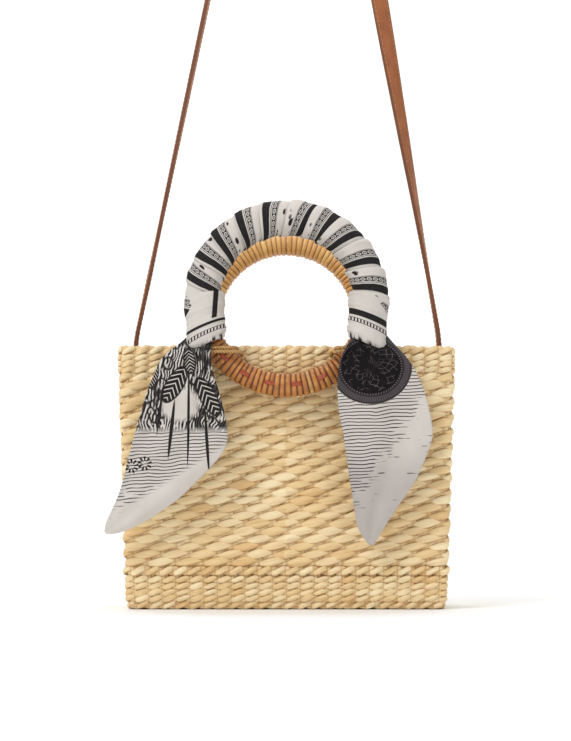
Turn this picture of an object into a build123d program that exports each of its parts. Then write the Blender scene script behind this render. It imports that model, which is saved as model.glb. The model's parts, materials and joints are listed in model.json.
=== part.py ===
"""Woven basket box bag with two cane-wrapped ring handles, a wound scarf and a leather strap.

Frame: millimetres, +Z up. The origin is the centre of the base's underside. The front faces -Y
and the bag's right-hand end, seen from the front, is +X.
"""
import math
import os

from build123d import *

# ---- basket: an open box of twined straw that widens a little towards the rim
basket_height = 220.0
rim_width = 282.0
rim_depth = 106.0
base_inset = 7.0
rim_corner_radius = 18.0
wall = 7.0
floor_thickness = 7.0
rim_round = 2.0
base_round = 3.0

# ---- ring handles: a bent cane core, wound with split cane, and one dyed strand laid in the winding
ring_radius = 70.0
tube_radius = 10.0
core_radius = 8.0
winding_fit = 0.1
ring_lift = 35.0
ring_wall_gap = 3.2
accent_radius = 0.7
accent_stands_proud = 0.3
accent_fit = 0.5

# ---- handle hinge: each ring swings on its two lashings, just under the rim
hinge_below_rim = 3.0
swing_inward = 24.0

# ---- lashings: turns of cord round the ring's tube and through the wall
lashing_turns = 2
lashing_first_below_rim = 5.0
lashing_pitch = 3.4
lashing_cord_radius = 1.4
lashing_outer_room = 0.3
lashing_inner_room = 1.4
lashing_front_room = 0.8
lashing_hole_fit = 0.3
lashing_wall_fit = 0.3
lashing_inner_bend = 1.7
lashing_front_bend = 7.0

# ---- scarf: wound over the front ring's upper arc, knotted at both ends, two tails in front
scarf_fit = 0.6
scarf_thickness = 4.4
scarf_end_angle = -20.0
knot_radius = 17.0
knot_depth = 14.0
knot_round = 5.0
knot_above_lashing = 1.8
tail_thickness = 4.0
tail_lashing_room = 1.5
tail_bend_below_ring = 3.0
tail_tip_out = 16.0
# outlines of the tails from the front: x from the knot's middle, z from the rim
left_tail = [
    (-18.0, 16.0),
    (-35.0, -11.0),
    (-56.0, -73.0),
    (-69.0, -122.0),
    (-83.0, -151.0),
    (-75.0, -157.0),
    (-36.0, -139.0),
    (4.0, -100.0),
    (19.0, -80.0),
    (13.0, -46.0),
    (5.0, -21.0),
    (12.0, 16.0),
]
right_tail = [
    (-12.0, 16.0),
    (-22.0, -16.0),
    (-25.0, -51.0),
    (-17.0, -103.0),
    (-9.0, -154.0),
    (2.0, -167.0),
    (18.0, -144.0),
    (40.0, -112.0),
    (53.0, -80.0),
    (48.0, -50.0),
    (29.0, -12.0),
    (18.0, 16.0),
]

# ---- shoulder strap: flat leather, fastened inside both end walls and drawn up over a support
strap_width = 15.0
strap_thickness = 3.3
strap_wall_fit = 0.3
strap_end_below_rim = 54.0
strap_bend_below_rim = 4.0
strap_over_support = [
    (-16.6, 744.9),
    (0.3, 758.2),
    (21.8, 757.8),
    (38.2, 743.9),
]
strap_arc_share = 0.45

# ---- strap rivets: two through each end wall, with a washer under each outer head
rivets_below_rim = [46.0, 32.0]
rivet_radius = 2.0
rivet_hole_fit = 0.15
rivet_head_radius = 4.5
rivet_head_thickness = 1.4
washer_radius = 6.0
washer_thickness = 0.8
stack_fit = 0.1

# ---- places that follow from the sizes above
wall_slope = math.degrees(math.atan(base_inset / basket_height))
ring_y = -(rim_depth / 2 + ring_wall_gap + tube_radius)
ring_height = basket_height + ring_lift
hinge_height = basket_height - hinge_below_rim
ring_front = ring_y - tube_radius - accent_stands_proud
ring_bottom = ring_height - ring_radius - tube_radius
rivet_heights = [basket_height - drop for drop in rivets_below_rim]
lashing_top = basket_height - lashing_first_below_rim + lashing_cord_radius
knot_height = lashing_top + knot_above_lashing + knot_radius
knot_x = math.sqrt(ring_radius**2 - (ring_height - knot_height) ** 2)


def inset_at(height):
    """How far every wall stands in from the rim at a height."""
    return base_inset * (1 - height / basket_height)


def half_width_at(height):
    """Half the basket's outer width at a height."""
    return rim_width / 2 - inset_at(height)


def half_depth_at(height):
    """Half the basket's outer depth at a height."""
    return rim_depth / 2 - inset_at(height)


def flared_block(low, high, inset):
    """A block with the basket's plan and lean between two heights, drawn in by an inset."""
    width = 2 * (half_width_at(low) - inset)
    depth = 2 * (half_depth_at(low) - inset)
    corner = rim_corner_radius - inset_at(low) - inset
    plan = Plane.XY.offset(low) * RectangleRounded(width, depth, corner)
    return extrude(plan, high - low, taper=-wall_slope)


def lashing_heights():
    first = basket_height - lashing_first_below_rim
    return [first - turn * lashing_pitch for turn in range(lashing_turns)]


def lashing_turn_layout(height):
    """Centre x, half width, front y and inner y of one turn of lashing round the front ring.

    The room towards the bag's middle is wider, because the tube drifts that way as it swings.
    """
    drop = ring_height - height
    cord = lashing_cord_radius
    tube_inner_x = math.sqrt((ring_radius - tube_radius) ** 2 - (drop + cord) ** 2)
    tube_outer_x = math.sqrt((ring_radius + tube_radius) ** 2 - (drop - cord) ** 2)
    low_x = tube_inner_x - lashing_inner_room - cord
    high_x = tube_outer_x + lashing_outer_room + cord
    centre_x = (low_x + high_x) / 2
    half_width = (high_x - low_x) / 2
    swing = math.radians(swing_inward)
    tilted_tube = tube_radius / math.cos(swing)
    swing_out = (hinge_height - height) * math.tan(swing)
    front_y = ring_y - tilted_tube - swing_out - lashing_front_room - cord
    inner_y = -half_depth_at(height) + wall + lashing_wall_fit + cord
    return centre_x, half_width, front_y, inner_y


def rear(shape):
    """The same piece on the rear handle: turned half way round the upright axis."""
    return Rot(0, 0, 180) * shape


# ---- basket
def make_basket():
    outer = flared_block(0, basket_height, 0)
    outer = fillet(outer.edges().group_by(Axis.Z)[0], base_round)
    body = outer - flared_block(floor_thickness, basket_height + wall, wall)
    body = fillet(body.edges().group_by(Axis.Z)[-1], rim_round)
    hole_radius = lashing_cord_radius + lashing_hole_fit
    for height in lashing_heights():
        centre_x, half_width, _, _ = lashing_turn_layout(height)
        for side in (-1, 1):
            for edge in (-1, 1):
                place = Pos(side * centre_x + edge * half_width, 0, height) * Rot(90, 0, 0)
                body -= place * Cylinder(hole_radius, 2 * rim_depth)
    for side in (-1, 1):
        for height in rivet_heights:
            body -= rivet_place(side, height) * Cylinder(rivet_radius + rivet_hole_fit, 4 * wall)
    return body


# ---- ring handles
def on_front_ring(shape):
    """Stand a shape made round the Z axis in the front ring's upright plane, +Z to the front."""
    return Pos(0, ring_y, ring_height) * Rot(90, 0, 0) * shape


def ring_profile(radius, offset=0.0):
    """A round section on the ring's centre line, moved outwards by an offset."""
    return Plane.XZ * Pos(ring_radius, offset) * Circle(radius)


def make_ring_core():
    return on_front_ring(revolve(ring_profile(core_radius), Axis.Z))


accent_offset = tube_radius + accent_stands_proud - accent_radius


def make_ring_winding():
    profile = ring_profile(tube_radius) - ring_profile(core_radius + winding_fit)
    profile -= ring_profile(accent_radius + accent_fit, accent_offset)
    return on_front_ring(revolve(profile, Axis.Z))


def make_ring_accent():
    return on_front_ring(revolve(ring_profile(accent_radius, accent_offset), Axis.Z))


# ---- lashings
def make_lashing(side):
    """The turns that hold the front ring at one side, -1 for the left and 1 for the right."""
    turns = []
    for height in lashing_heights():
        centre_x, half_width, front_y, inner_y = lashing_turn_layout(height)
        middle_y = (inner_y + front_y) / 2
        plan = Pos(0, middle_y) * Rectangle(2 * half_width, inner_y - front_y)
        plan = fillet(plan.vertices().group_by(Axis.Y)[-1], lashing_inner_bend)
        plan = fillet(plan.vertices().group_by(Axis.Y)[0], lashing_front_bend)
        path = plan.face().outer_wire()
        start = Plane(origin=path @ 0, z_dir=path % 0)
        turn = sweep(start * Circle(lashing_cord_radius), path)
        turns.append(Pos(side * centre_x, 0, height) * turn)
    return Compound(turns)


# ---- scarf
def lashing_reach():
    """How far forward the foremost turn of lashing reaches."""
    return min(lashing_turn_layout(height)[2] for height in lashing_heights()) - lashing_cord_radius


def make_tail(side, outline):
    """One hanging end: its front outline, bent back towards the basket below the ring."""
    bend_height = ring_bottom - tail_bend_below_ring
    back = lashing_reach() - tail_lashing_room
    front = back - tail_thickness
    tip_back = -half_depth_at(0) - tail_tip_out
    tip_front = tip_back - tail_thickness
    placed = [(side * knot_x + x, basket_height + z) for x, z in outline]
    low = min(point[1] for point in placed) - tail_thickness
    high = max(point[1] for point in placed) + tail_thickness
    side_view = Polyline(
        (back, high),
        (back, bend_height),
        (tip_back, low),
        (tip_front, low),
        (front, bend_height),
        (front, high),
        close=True,
    )
    reach = 2 * rim_width
    slab = extrude(Plane.YZ * make_face(side_view), reach, both=True)
    silhouette = extrude(Plane.XZ * make_face(Polyline(*placed, close=True)), reach, both=True)
    return slab & silhouette


def make_knot(side):
    """A flat round knot in front of the ring, just above the lashing."""
    knot = Cylinder(knot_radius, knot_depth)
    knot = fillet(knot.edges().group_by(Axis.Z)[-1], knot_round)
    middle_y = ring_front - scarf_fit + accent_stands_proud - knot_depth / 2
    return Pos(side * knot_x, middle_y, knot_height) * Rot(90, 0, 0) * knot


def make_scarf():
    inner = tube_radius + scarf_fit
    profile = ring_profile(inner + scarf_thickness) - ring_profile(inner)
    arc = 180 - 2 * scarf_end_angle
    winding = Rot(0, 0, scarf_end_angle) * revolve(profile, Axis.Z, arc)
    scarf = on_front_ring(winding)
    for side, outline in ((-1, left_tail), (1, right_tail)):
        scarf += make_knot(side) + make_tail(side, outline)
    return scarf


# ---- shoulder strap
def strap_x_at(height):
    """The strap's centre line where it lies against the inside of an end wall."""
    lean = math.cos(math.radians(wall_slope))
    return half_width_at(height) - (wall + strap_wall_fit + strap_thickness / 2) / lean


def strap_route():
    end_height = basket_height - strap_end_below_rim
    bend_height = basket_height - strap_bend_below_rim
    end_x = strap_x_at(end_height)
    bend_x = strap_x_at(bend_height)
    left = [(-end_x, end_height), (-bend_x, bend_height)]
    right = [(bend_x, bend_height), (end_x, end_height)]
    return left + strap_over_support + right


def corner_radii(points):
    """The arc at each corner: a share of the shorter run over the tangent of half the turn."""
    radii = []
    for before, here, after in zip(points, points[1:], points[2:]):
        run_in = Vector(here[0] - before[0], here[1] - before[1])
        run_out = Vector(after[0] - here[0], after[1] - here[1])
        half_turn = math.radians(run_in.get_angle(run_out)) / 2
        shorter = min(run_in.length, run_out.length)
        radii.append(strap_arc_share * shorter / math.tan(half_turn))
    return radii


def make_strap():
    points = strap_route()
    radii = corner_radii(points)
    print("strap corner radii, mm:", [round(radius, 1) for radius in radii])
    path = Plane.XZ * FilletPolyline(*points, radius=radii)
    print("strap length, mm:", round(path.length, 1))
    start = Plane(origin=path @ 0, z_dir=path % 0, x_dir=(0, 1, 0))
    strap = sweep(start * Rectangle(strap_width, strap_thickness), path)
    print("strap volume over section times length:",
          round(strap.volume / (strap_width * strap_thickness * path.length), 4))
    for side in (-1, 1):
        for height in rivet_heights:
            strap -= rivet_place(side, height) * Cylinder(rivet_radius + rivet_hole_fit, 4 * wall)
    return strap


# ---- rivets and washers
def rivet_place(side, height):
    """A frame on an end wall at a height: its +Z points out through the wall, square to it."""
    return Pos(side * half_width_at(height), 0, height) * Rot(0, side * (90 + wall_slope), 0)


def make_rivets(side):
    """Two rivets: a wide head on the leather, a shank, and a head on the outer washer."""
    inner_face = -(wall + strap_wall_fit + strap_thickness + stack_fit)
    outer_face = washer_thickness + 2 * stack_fit
    shank_length = outer_face - inner_face
    head_lift = rivet_head_thickness / 2
    rivets = []
    for height in rivet_heights:
        shank = Pos(0, 0, (outer_face + inner_face) / 2) * Cylinder(rivet_radius, shank_length)
        head = Cylinder(rivet_head_radius, rivet_head_thickness)
        inner_head = Pos(0, 0, inner_face - head_lift) * head
        outer_head = Pos(0, 0, outer_face + head_lift) * head
        rivets.append(rivet_place(side, height) * (shank + inner_head + outer_head))
    return Compound(rivets)


def make_washers(side):
    washers = []
    for height in rivet_heights:
        disc = Cylinder(washer_radius, washer_thickness)
        disc -= Cylinder(rivet_radius + rivet_hole_fit, 2 * washer_thickness)
        lift = stack_fit + washer_thickness / 2
        washers.append(rivet_place(side, height) * Pos(0, 0, lift) * disc)
    return Compound(washers)


# ---- all nodes
nodes = {
    "basket_body": make_basket(),
    "front_ring_core": make_ring_core(),
    "front_ring_cane": make_ring_winding(),
    "front_ring_accent_cane": make_ring_accent(),
    "rear_ring_core": rear(make_ring_core()),
    "rear_ring_cane": rear(make_ring_winding()),
    "rear_ring_accent_cane": rear(make_ring_accent()),
    "front_left_lashing": make_lashing(-1),
    "front_right_lashing": make_lashing(1),
    "rear_left_lashing": rear(make_lashing(1)),
    "rear_right_lashing": rear(make_lashing(-1)),
    "scarf": make_scarf(),
    "shoulder_strap": make_strap(),
    "left_strap_rivets": make_rivets(-1),
    "right_strap_rivets": make_rivets(1),
    "left_strap_washers": make_washers(-1),
    "right_strap_washers": make_washers(1),
}

os.makedirs("parts", exist_ok=True)
for name, shape in nodes.items():
    export_step(shape, f"parts/{name}.step")
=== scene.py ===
import json
import math

import bpy
import numpy as np
from bpy.props import FloatProperty, FloatVectorProperty, IntProperty, PointerProperty
from bpy.types import Operator, Panel, PropertyGroup
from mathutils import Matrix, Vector

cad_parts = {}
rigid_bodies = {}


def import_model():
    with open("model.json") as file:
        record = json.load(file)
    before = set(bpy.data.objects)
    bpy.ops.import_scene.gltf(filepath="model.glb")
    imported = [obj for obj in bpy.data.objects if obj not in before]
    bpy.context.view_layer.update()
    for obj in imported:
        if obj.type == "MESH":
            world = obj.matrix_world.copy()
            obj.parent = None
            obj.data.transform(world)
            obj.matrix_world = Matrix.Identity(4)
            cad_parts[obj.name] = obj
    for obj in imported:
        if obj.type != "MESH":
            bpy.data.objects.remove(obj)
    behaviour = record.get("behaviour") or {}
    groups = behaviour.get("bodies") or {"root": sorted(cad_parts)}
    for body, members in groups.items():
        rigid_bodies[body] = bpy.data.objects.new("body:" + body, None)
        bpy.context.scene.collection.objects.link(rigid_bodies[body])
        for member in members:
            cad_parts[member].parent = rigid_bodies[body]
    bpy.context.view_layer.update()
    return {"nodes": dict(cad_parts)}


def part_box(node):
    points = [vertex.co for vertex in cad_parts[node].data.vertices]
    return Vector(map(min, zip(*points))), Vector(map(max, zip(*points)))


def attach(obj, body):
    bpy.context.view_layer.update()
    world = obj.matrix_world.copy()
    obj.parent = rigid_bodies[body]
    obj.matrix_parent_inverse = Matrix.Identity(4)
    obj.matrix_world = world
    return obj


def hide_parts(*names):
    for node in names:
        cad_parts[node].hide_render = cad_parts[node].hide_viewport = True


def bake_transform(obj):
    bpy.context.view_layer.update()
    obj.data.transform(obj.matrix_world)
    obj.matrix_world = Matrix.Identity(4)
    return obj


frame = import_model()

bl_info = {
    "name": "Basket Box Bag",
    "version": (1, 0, 0),
    "blender": (4, 5, 0),
    "location": "3D View > Sidebar > Basket Bag",
    "description": "Woven straw box bag with wound ring handles, a tied scarf and a leather shoulder strap",
    "category": "Add Mesh",
}

# All shapes below are worked out in millimetres, in the frame of the CAD model.
METRE = 1000.0
QUARTER = math.pi / 2
ROUND = 2 * math.pi


def node_box(name):
    """Lowest and highest corner of a CAD node, in millimetres."""
    low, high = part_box(name)
    return np.array(low) * METRE, np.array(high) * METRE


BASKET_HIGH = node_box("basket_body")[1]
RIM_HALF_X = float(BASKET_HIGH[0])
RIM_HALF_Y = float(BASKET_HIGH[1])
RIM_HEIGHT = float(BASKET_HIGH[2])
BASE_INSET = 7.0
# straw bends round a corner on a tighter line than the plain wall, and stands proud at the two ends,
# less towards the base
WEAVE_CORNER = 9.0
CORNER_TIGHTENS = 3.0
END_PROUD = 3.2
PROUD_LOST = 0.75
# how far the middle of a strand lies inside the face of the wall
STRAND_INWARD = 3.4
WALL_LEVELS = (39.4, 186.6)
RIM_LEVELS = (209.8, 204.7, 199.6)
FOOT_LEVELS = (24.9, 19.4, 14.1, 9.2)
RING_LOW, RING_HIGH = node_box("front_ring_cane")
RING_HEIGHT = float(RING_LOW[2] + RING_HIGH[2]) / 2
TUBE = float(RING_HIGH[1] - RING_LOW[1]) / 2
RING_RADIUS = float(RING_HIGH[0] - RING_LOW[0]) / 2 - TUBE
RING_Y = float(RING_LOW[1] + RING_HIGH[1]) / 2
# the dyed strand's laid pattern: over two turns of cane, then under three
DYED_REPEAT = 5
DYED_OVER = 2
KNOT_X = 67.1
CLOTH_THICK = 0.4


def paint(red, green, blue):
    """Linear colour of a screen colour given in steps of 255."""
    share = np.array([red, green, blue]) / 255.0
    linear = np.where(share <= 0.04045, share / 12.92, ((share + 0.055) / 1.055) ** 2.4)
    return (*[float(x) for x in linear], 1.0)


def colour_choice(name, description, red, green, blue):
    """A colour property whose default is a screen colour."""
    return FloatVectorProperty(
        name=name, description=description, subtype="COLOR", size=4,
        min=0.0, max=1.0, default=paint(red, green, blue),
    )


def length_choice(name, description, millimetres):
    """A length property given in millimetres and kept in metres."""
    return FloatProperty(
        name=name, description=description, unit="LENGTH", subtype="DISTANCE",
        min=0.0, default=millimetres / METRE,
    )


class BasketBagWeave(PropertyGroup):
    """Sizes and colours of the woven straw."""

    wall_humps: IntProperty(
        name="Wall humps", description="Twists once round a broad row", default=30, min=4
    )
    top_humps: IntProperty(
        name="Rim humps", description="Twists once round a fine row under the rim", default=64, min=4
    )
    foot_humps: IntProperty(
        name="Foot humps", description="Twists once round a fine row near the base", default=60, min=4
    )
    wall_rows: IntProperty(
        name="Wall rows", description="Broad rows between the two fine borders", default=24, min=2
    )
    straw: colour_choice("Straw", "Pale face of the straw", 233, 204, 152)
    # painted shade where strands cross and along their edges; also the colour of the darker fibre streaks
    straw_shade_and_streak: colour_choice("Straw shade", "Straw where it turns under", 174, 118, 42)
    straw_light: colour_choice("Straw light", "Bleached strands", 247, 228, 186)
    straw_amber: colour_choice("Straw amber", "The few strands with an orange cast", 214, 158, 92)


class BasketBagHandles(PropertyGroup):
    """Sizes and colours of the ring handles."""

    turns: IntProperty(name="Turns", description="Turns of cane round one ring", default=100, min=20)
    groove: length_choice("Groove", "Depth between two turns of cane", 1.5)
    cane: colour_choice("Cane", "Face of the split cane", 204, 136, 60)
    # painted shade laid into the grooves between turns of cane
    cane_groove_shade: colour_choice("Cane shade", "Cane in the grooves", 84, 34, 8)
    dyed: colour_choice("Dyed strand", "The red-brown strand laid in the winding", 148, 58, 26)
    brass: colour_choice("Brass", "Rivets and washers of the strap", 190, 150, 84)


class BasketBagScarf(PropertyGroup):
    """Sizes and colours of the scarf."""

    turns: IntProperty(name="Turns", description="Turns of the scarf round the front ring", default=12, min=3)
    cloth: colour_choice("Cloth", "Ground of the scarf", 205, 199, 193)
    ink: colour_choice("Ink", "Dark print of the scarf", 14, 10, 14)
    # also the colour of the painted shade towards the tip of the right end
    grey_ink_and_shade: colour_choice("Grey ink", "Softer ring in the print", 84, 74, 80)


class BasketBagStrap(PropertyGroup):
    """Sizes and colours of the shoulder strap."""

    width: length_choice("Width", "Width of the strap", 15.0)
    thickness: length_choice("Thickness", "Two layers of leather together", 3.3)
    stitch: length_choice("Stitch", "Length from one stitch to the next", 4.3)
    leather: colour_choice("Leather", "Face of the leather", 168, 98, 50)
    leather_deep: colour_choice("Leather shade", "Edges and creases of the leather", 92, 50, 28)
    thread: colour_choice("Thread", "Stitching", 196, 152, 108)


# ---- meshes from arrays
def grid_corners(rows, columns, rows_close, columns_close):
    """Row and column numbers of the four corners of each face of a grid, before they wrap round."""
    i, j = np.meshgrid(
        np.arange(rows if rows_close else rows - 1),
        np.arange(columns if columns_close else columns - 1),
        indexing="ij",
    )
    row = np.stack([i, i + 1, i + 1, i], axis=-1).reshape(-1, 4)
    column = np.stack([j, j, j + 1, j + 1], axis=-1).reshape(-1, 4)
    return row, column


def cap_corners(columns):
    """Faces that close a ring of an even number of points, each joining a pair to the pair across."""
    i = np.arange(columns // 2 - 1)
    return np.stack([i, i + 1, columns - 2 - i, columns - 1 - i], axis=-1)


class Shape:
    """Tubes gathered into one mesh: each is a grid of points, closed round its columns."""

    def __init__(self):
        self.points = []
        self.faces = []
        self.uvs = []
        self.values = {}
        self.kinds = []
        self.count = 0

    def tube(self, points, closed=False, across=None, along=None, kind=0, **values):
        """Adds a grid of points (rows, columns, 3). Rows run along it; an open one gets two caps.
        across and along are the map coordinates of the columns and rows, one more than there are points
        where that way closes. A face whose corners would run clockwise from outside is turned over."""
        rows, columns = points.shape[:2]
        row, column = grid_corners(rows, columns, closed, True)
        faces = (row % rows) * columns + column % columns
        across = np.linspace(0, 1, columns + 1) if across is None else across
        along = np.linspace(0, 1, rows + 1) if along is None else along
        uv = np.stack([across[column], along[row]], axis=-1)
        if not closed:
            start = cap_corners(columns)
            end = (rows - 1) * columns + start[:, ::-1]
            flat_start = np.stack([across[start], np.full(start.shape, along[0])], axis=-1)
            flat_end = np.stack([across[start[:, ::-1]], np.full(start.shape, along[rows - 1])], axis=-1)
            faces = np.concatenate([faces, start, end])
            uv = np.concatenate([uv, flat_start, flat_end])
        flat = points.reshape(-1, 3)
        middle = flat.mean(axis=0)
        a, b, c, d = (flat[faces[:, k]] - middle for k in range(4))
        volume = np.einsum("ij,ij->", a, np.cross(b, c)) + np.einsum("ij,ij->", a, np.cross(c, d))
        if volume < 0:
            faces = faces[:, ::-1]
            uv = uv[:, ::-1]
        self.points.append(flat)
        self.faces.append(faces + self.count)
        self.uvs.append(uv)
        self.kinds.append(np.full(len(faces), kind))
        for name, value in values.items():
            spread = np.broadcast_to(np.asarray(value, float), (rows, columns)).ravel()
            self.values.setdefault(name, []).append(spread)
        self.count += len(flat)

    def build(self, name, *materials):
        """Makes the object, in metres, with its map, its values and its materials."""
        points = np.concatenate(self.points) / METRE
        faces = np.concatenate(self.faces)
        mesh = bpy.data.meshes.new(name)
        mesh.vertices.add(len(points))
        mesh.vertices.foreach_set("co", points.astype(np.float32).ravel())
        mesh.loops.add(faces.size)
        mesh.loops.foreach_set("vertex_index", faces.astype(np.int32).ravel())
        mesh.polygons.add(len(faces))
        mesh.polygons.foreach_set("loop_start", np.arange(0, faces.size, 4, dtype=np.int32))
        mesh.update(calc_edges=True)
        mesh.polygons.foreach_set("use_smooth", np.ones(len(faces), dtype=bool))
        layer = mesh.uv_layers.new(name="lay")
        layer.data.foreach_set("uv", np.concatenate(self.uvs).astype(np.float32).ravel())
        for key, parts in self.values.items():
            attribute = mesh.attributes.new(key, "FLOAT", "POINT")
            attribute.data.foreach_set("value", np.concatenate(parts).astype(np.float32))
        for material in materials:
            mesh.materials.append(material)
        mesh.polygons.foreach_set("material_index", np.concatenate(self.kinds).astype(np.int32))
        mesh.update()
        piece = bpy.data.objects.new(name, mesh)
        bpy.context.scene.collection.objects.link(piece)
        return piece


def unit(vectors):
    """Each vector divided by its length."""
    return vectors / np.maximum(np.linalg.norm(vectors, axis=-1, keepdims=True), 1e-9)


def swept(centre, first, second, sides, scale=None, start=0.0):
    """Tube round a path: centre + first * cos(a) + second * sin(a), for sides steps of the angle a.
    first and second are the section's two half sizes as vectors, and scale is a factor for each point."""
    angle = start + np.arange(sides) * ROUND / sides
    if scale is None:
        scale = np.ones((len(centre), sides))
    ring = first[:, None] * np.cos(angle)[None, :, None] + second[:, None] * np.sin(angle)[None, :, None]
    return centre[:, None] + ring * scale[..., None]


def sheet_grid(points, thickness):
    """Closed thin shell on a sheet's grid: one layer half the thickness out along the sheet's normal,
    which is the cross product of its two slopes, and the other half the thickness in, edge to edge."""
    down = np.gradient(points, axis=0)
    over = np.gradient(points, axis=1)
    normal = unit(np.cross(down, over))
    outer = points + normal * thickness / 2
    inner = (points - normal * thickness / 2)[:, ::-1]
    return np.concatenate([outer, inner], axis=1)


def out_and_back(values):
    """Values of a sheet's columns, repeated in turn for the second layer of its shell."""
    return np.concatenate([values, values[:, ::-1]], axis=1)


def sheet_across(values):
    """Map coordinates of a closed shell's columns from those of its sheet, out and back."""
    return np.concatenate([values, values[::-1], values[:1]])


def wobble(rng, count, length, strength):
    """Smooth seeded unevenness: a sum of sine waves with 1 to length waves over count samples."""
    at = np.linspace(0, ROUND, count)
    waves = np.arange(1, length + 1)
    size = rng.normal(0, 1, length) / np.sqrt(length)
    start = rng.uniform(0, ROUND, length)
    return strength * (size[:, None] * np.sin(waves[:, None] * at + start[:, None])).sum(axis=0)


# ---- material nodes
class Nodes:
    """Short ways to add nodes to a tree. A value is a number, a colour or another node's socket."""

    def __init__(self, tree):
        self.tree = tree

    def add(self, kind, *values, **settings):
        """A node whose first inputs take the values in turn, and whose settings are given by name."""
        node = self.tree.nodes.new(kind)
        for key, value in settings.items():
            setattr(node, key, value)
        for socket, value in zip(node.inputs, values):
            self.feed(socket, value)
        return node

    def feed(self, socket, value):
        """Links a socket, or sets its own value."""
        if value is None:
            return
        if isinstance(value, bpy.types.NodeSocket):
            self.tree.links.new(value, socket)
        else:
            socket.default_value = value

    def math(self, operation, *values, clamp=False):
        """A sum on one or two values."""
        return self.add("ShaderNodeMath", *values, operation=operation, use_clamp=clamp).outputs[0]

    def total(self, *values):
        """All values added up."""
        result = values[0]
        for value in values[1:]:
            result = self.math("ADD", result, value)
        return result

    def product(self, *values):
        """All values multiplied."""
        result = values[0]
        for value in values[1:]:
            result = self.math("MULTIPLY", result, value)
        return result

    def most(self, *values):
        """The largest of the values."""
        result = values[0]
        for value in values[1:]:
            result = self.math("MAXIMUM", result, value)
        return result

    def ramp(self, value, low, high, start=0.0, end=1.0):
        """Start below low, end above high, and an even slope between them."""
        return self.add("ShaderNodeMapRange", value, low, high, start, end).outputs[0]

    def between(self, value, low, high, soft):
        """1 from low to high and 0 outside, over an edge of the given softness."""
        rise = self.ramp(value, low - soft, low + soft)
        fall = self.ramp(value, high - soft, high + soft, 1.0, 0.0)
        return self.product(rise, fall)

    def mix(self, share, first, second):
        """The first colour, and the second in its place as far as the share says."""
        node = self.add("ShaderNodeMix", data_type="RGBA")
        self.feed(node.inputs[0], share)
        self.feed(node.inputs[6], first)
        self.feed(node.inputs[7], second)
        return node.outputs[2]

    def noise(self, vector, scale, detail=2.0, rough=0.5):
        """Soft noise from 0 to 1 at a place."""
        node = self.add("ShaderNodeTexNoise")
        self.feed(node.inputs["Vector"], vector)
        node.inputs["Scale"].default_value = scale
        node.inputs["Detail"].default_value = detail
        node.inputs["Roughness"].default_value = rough
        return node.outputs["Fac"]

    def cells(self, vector, scale, feature="F1"):
        """Distance from the nearest of some scattered points."""
        node = self.add("ShaderNodeTexVoronoi", feature=feature)
        self.feed(node.inputs["Vector"], vector)
        node.inputs["Scale"].default_value = scale
        return node.outputs["Distance"]

    def vector(self, x, y, z=0.0):
        """Three values as one place."""
        return self.add("ShaderNodeCombineXYZ", x, y, z).outputs[0]

    def split(self, vector):
        """A place as its three values."""
        return self.add("ShaderNodeSeparateXYZ", vector).outputs

    def objects(self):
        """Place on the piece, in metres."""
        return self.add("ShaderNodeTexCoord").outputs["Object"]

    def lay(self):
        """The piece's own map: across it and along it."""
        return self.add("ShaderNodeUVMap", uv_map="lay").outputs[0]

    def value(self, name):
        """One of the piece's own values, by name."""
        return self.add("ShaderNodeAttribute", attribute_name=name).outputs["Fac"]

    def bump(self, height, strength, distance):
        """A normal tilted by a height."""
        node = self.add("ShaderNodeBump")
        node.inputs["Strength"].default_value = strength
        node.inputs["Distance"].default_value = distance
        self.feed(node.inputs["Height"], height)
        return node.outputs[0]

    def group(self, tree, *values):
        """A shared effect, with its own values."""
        node = self.tree.nodes.new("ShaderNodeGroup")
        node.node_tree = tree
        for socket, value in zip(node.inputs, values):
            self.feed(socket, value)
        return node.outputs


class Finish(Nodes):
    """A material on its own tree, with the constant settings of its shader."""

    def __init__(self, name, **settings):
        self.material = bpy.data.materials.new(name)
        self.material.use_nodes = True
        super().__init__(self.material.node_tree)
        self.shader = self.tree.nodes["Principled BSDF"]
        for key, value in settings.items():
            self.shader.inputs[key.replace("_", " ")].default_value = value

    def set(self, **values):
        """Feeds the shader's inputs, named with _ for a space, and gives the material."""
        for key, value in values.items():
            self.feed(self.shader.inputs[key.replace("_", " ")], value)
        return self.material


def effect(name, inputs, outputs, make):
    """A shared node group. make takes its nodes and inputs, and gives its outputs in order."""
    tree = bpy.data.node_groups.new(name, "ShaderNodeTree")
    for label, kind, default in inputs:
        socket = tree.interface.new_socket(name=label, in_out="INPUT", socket_type=kind)
        if default is not None:
            socket.default_value = default
    for label, kind in outputs:
        tree.interface.new_socket(name=label, in_out="OUTPUT", socket_type=kind)
    nodes = Nodes(tree)
    entry = tree.nodes.new("NodeGroupInput")
    leave = tree.nodes.new("NodeGroupOutput")
    results = make(nodes, [entry.outputs[k] for k in range(len(inputs))])
    for socket, result in zip(leave.inputs, results):
        nodes.feed(socket, result)
    return tree


NUMBER = "NodeSocketFloat"
ARROW = "NodeSocketVector"
EFFECTS = {}


def shared(name):
    """The shared effect of that name, made once."""
    if name not in EFFECTS:
        EFFECTS[name] = effect(name, *RECIPES[name])
    return EFFECTS[name]


def fibre_recipe(nodes, entry):
    """Fine lines along a strand: noise stretched along it, once fine and once broad."""
    across, along, _ = nodes.split(entry[0])
    close = nodes.vector(nodes.product(across, entry[1]), nodes.product(along, entry[2]))
    wide = nodes.vector(nodes.product(across, entry[1], 0.3), nodes.product(along, entry[2], 0.6), 7.0)
    return [nodes.noise(close, 1.0, 3.0, 0.6), nodes.noise(wide, 1.0, 2.0, 0.5)]


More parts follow.
